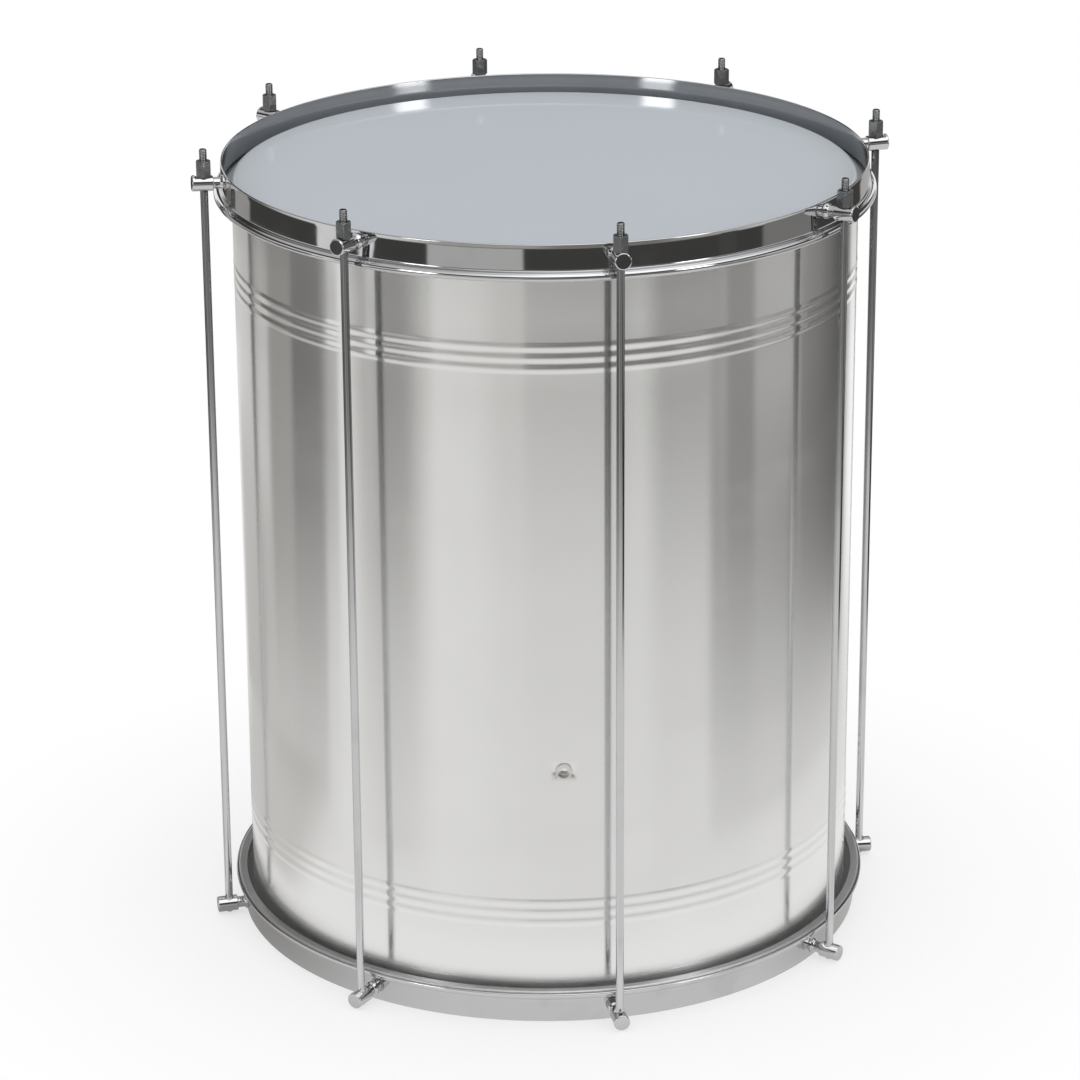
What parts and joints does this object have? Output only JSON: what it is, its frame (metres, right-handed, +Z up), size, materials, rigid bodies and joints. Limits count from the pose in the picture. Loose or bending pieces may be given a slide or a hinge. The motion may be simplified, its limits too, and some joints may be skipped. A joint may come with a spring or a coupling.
{
  "type": "surdo",
  "caption": "Tall two-headed bass drum with a polished metal shell, flanged chrome hoops and full-length tension rods with hexagon nuts.",
  "frame": {"origin": "on the floor at the centre of the bottom hoop's rim, on the drum's axis", "axes": "+Z up along the drum's axis towards the batter head; -Y is the front, where lug, rod and nut 1 stand; +X is to the right as seen from the front"},
  "size_m": [0.567, 0.567, 0.6599],
  "materials": {
    "polished_aluminium": "polished",
    "bright_aluminium": "bright drawn",
    "chrome_plate": "mirror plated",
    "zinc_plate": "zinc plated",
    "nickel_plate": "nickel plated",
    "milky_film": "smooth milky film"
  },
  "bodies": {
    "drum": {"shell": "polished_aluminium", "vent_eyelet": "nickel_plate", "batter_head": "milky_film", "batter_flesh_hoop": "bright_aluminium", "resonant_head": "milky_film", "resonant_flesh_hoop": "bright_aluminium", "bottom_hoop": "chrome_plate", "bottom_lug_1": "chrome_plate", "tension_rod_1": "chrome_plate", "bottom_lug_2": "chrome_plate", "tension_rod_2": "chrome_plate", "bottom_lug_3": "chrome_plate", "tension_rod_3": "chrome_plate", "bottom_lug_4": "chrome_plate", "tension_rod_4": "chrome_plate", "bottom_lug_5": "chrome_plate", "tension_rod_5": "chrome_plate", "bottom_lug_6": "chrome_plate", "tension_rod_6": "chrome_plate", "bottom_lug_7": "chrome_plate", "tension_rod_7": "chrome_plate", "bottom_lug_8": "chrome_plate", "tension_rod_8": "chrome_plate"},
    "top_hoop": {"top_hoop": "chrome_plate", "top_lug_1": "chrome_plate", "top_lug_2": "chrome_plate", "top_lug_3": "chrome_plate", "top_lug_4": "chrome_plate", "top_lug_5": "chrome_plate", "top_lug_6": "chrome_plate", "top_lug_7": "chrome_plate", "top_lug_8": "chrome_plate"},
    "tuning_nut_1": {"tuning_nut_1": "zinc_plate"},
    "tuning_nut_2": {"tuning_nut_2": "zinc_plate"},
    "tuning_nut_3": {"tuning_nut_3": "zinc_plate"},
    "tuning_nut_4": {"tuning_nut_4": "zinc_plate"},
    "tuning_nut_5": {"tuning_nut_5": "zinc_plate"},
    "tuning_nut_6": {"tuning_nut_6": "zinc_plate"},
    "tuning_nut_7": {"tuning_nut_7": "zinc_plate"},
    "tuning_nut_8": {"tuning_nut_8": "zinc_plate"}
  },
  "joints": [
    {"name": "top_hoop_lift", "type": "slide", "parent": "drum", "child": "top_hoop", "axis": [0, 0, 1], "range_m": [0, 0.00889]},
    {"name": "tuning_nut_1_turn", "type": "hinge", "parent": "top_hoop", "child": "tuning_nut_1", "pos_m": [0, -0.2735, 0.6441], "axis": [0, 0, 1], "range_deg": [0, 2520]},
    {"name": "tuning_nut_2_turn", "type": "hinge", "parent": "top_hoop", "child": "tuning_nut_2", "pos_m": [0.19339, -0.19339, 0.6441], "axis": [0, 0, 1], "range_deg": [0, 2520]},
    {"name": "tuning_nut_3_turn", "type": "hinge", "parent": "top_hoop", "child": "tuning_nut_3", "pos_m": [0.2735, 0, 0.6441], "axis": [0, 0, 1], "range_deg": [0, 2520]},
    {"name": "tuning_nut_4_turn", "type": "hinge", "parent": "top_hoop", "child": "tuning_nut_4", "pos_m": [0.19339, 0.19339, 0.6441], "axis": [0, 0, 1], "range_deg": [0, 2520]},
    {"name": "tuning_nut_5_turn", "type": "hinge", "parent": "top_hoop", "child": "tuning_nut_5", "pos_m": [0, 0.2735, 0.6441], "axis": [0, 0, 1], "range_deg": [0, 2520]},
    {"name": "tuning_nut_6_turn", "type": "hinge", "parent": "top_hoop", "child": "tuning_nut_6", "pos_m": [-0.19339, 0.19339, 0.6441], "axis": [0, 0, 1], "range_deg": [0, 2520]},
    {"name": "tuning_nut_7_turn", "type": "hinge", "parent": "top_hoop", "child": "tuning_nut_7", "pos_m": [-0.2735, 0, 0.6441], "axis": [0, 0, 1], "range_deg": [0, 2520]},
    {"name": "tuning_nut_8_turn", "type": "hinge", "parent": "top_hoop", "child": "tuning_nut_8", "pos_m": [-0.19339, -0.19339, 0.6441], "axis": [0, 0, 1], "range_deg": [0, 2520]}
  ],
  "couplings": [
    {"joint": "tuning_nut_1_turn", "follows": "top_hoop_lift", "rad_per_m": 4947.4},
    {"joint": "tuning_nut_2_turn", "follows": "top_hoop_lift", "rad_per_m": 4947.4},
    {"joint": "tuning_nut_3_turn", "follows": "top_hoop_lift", "rad_per_m": 4947.4},
    {"joint": "tuning_nut_4_turn", "follows": "top_hoop_lift", "rad_per_m": 4947.4},
    {"joint": "tuning_nut_5_turn", "follows": "top_hoop_lift", "rad_per_m": 4947.4},
    {"joint": "tuning_nut_6_turn", "follows": "top_hoop_lift", "rad_per_m": 4947.4},
    {"joint": "tuning_nut_7_turn", "follows": "top_hoop_lift", "rad_per_m": 4947.4},
    {"joint": "tuning_nut_8_turn", "follows": "top_hoop_lift", "rad_per_m": 4947.4}
  ]
}
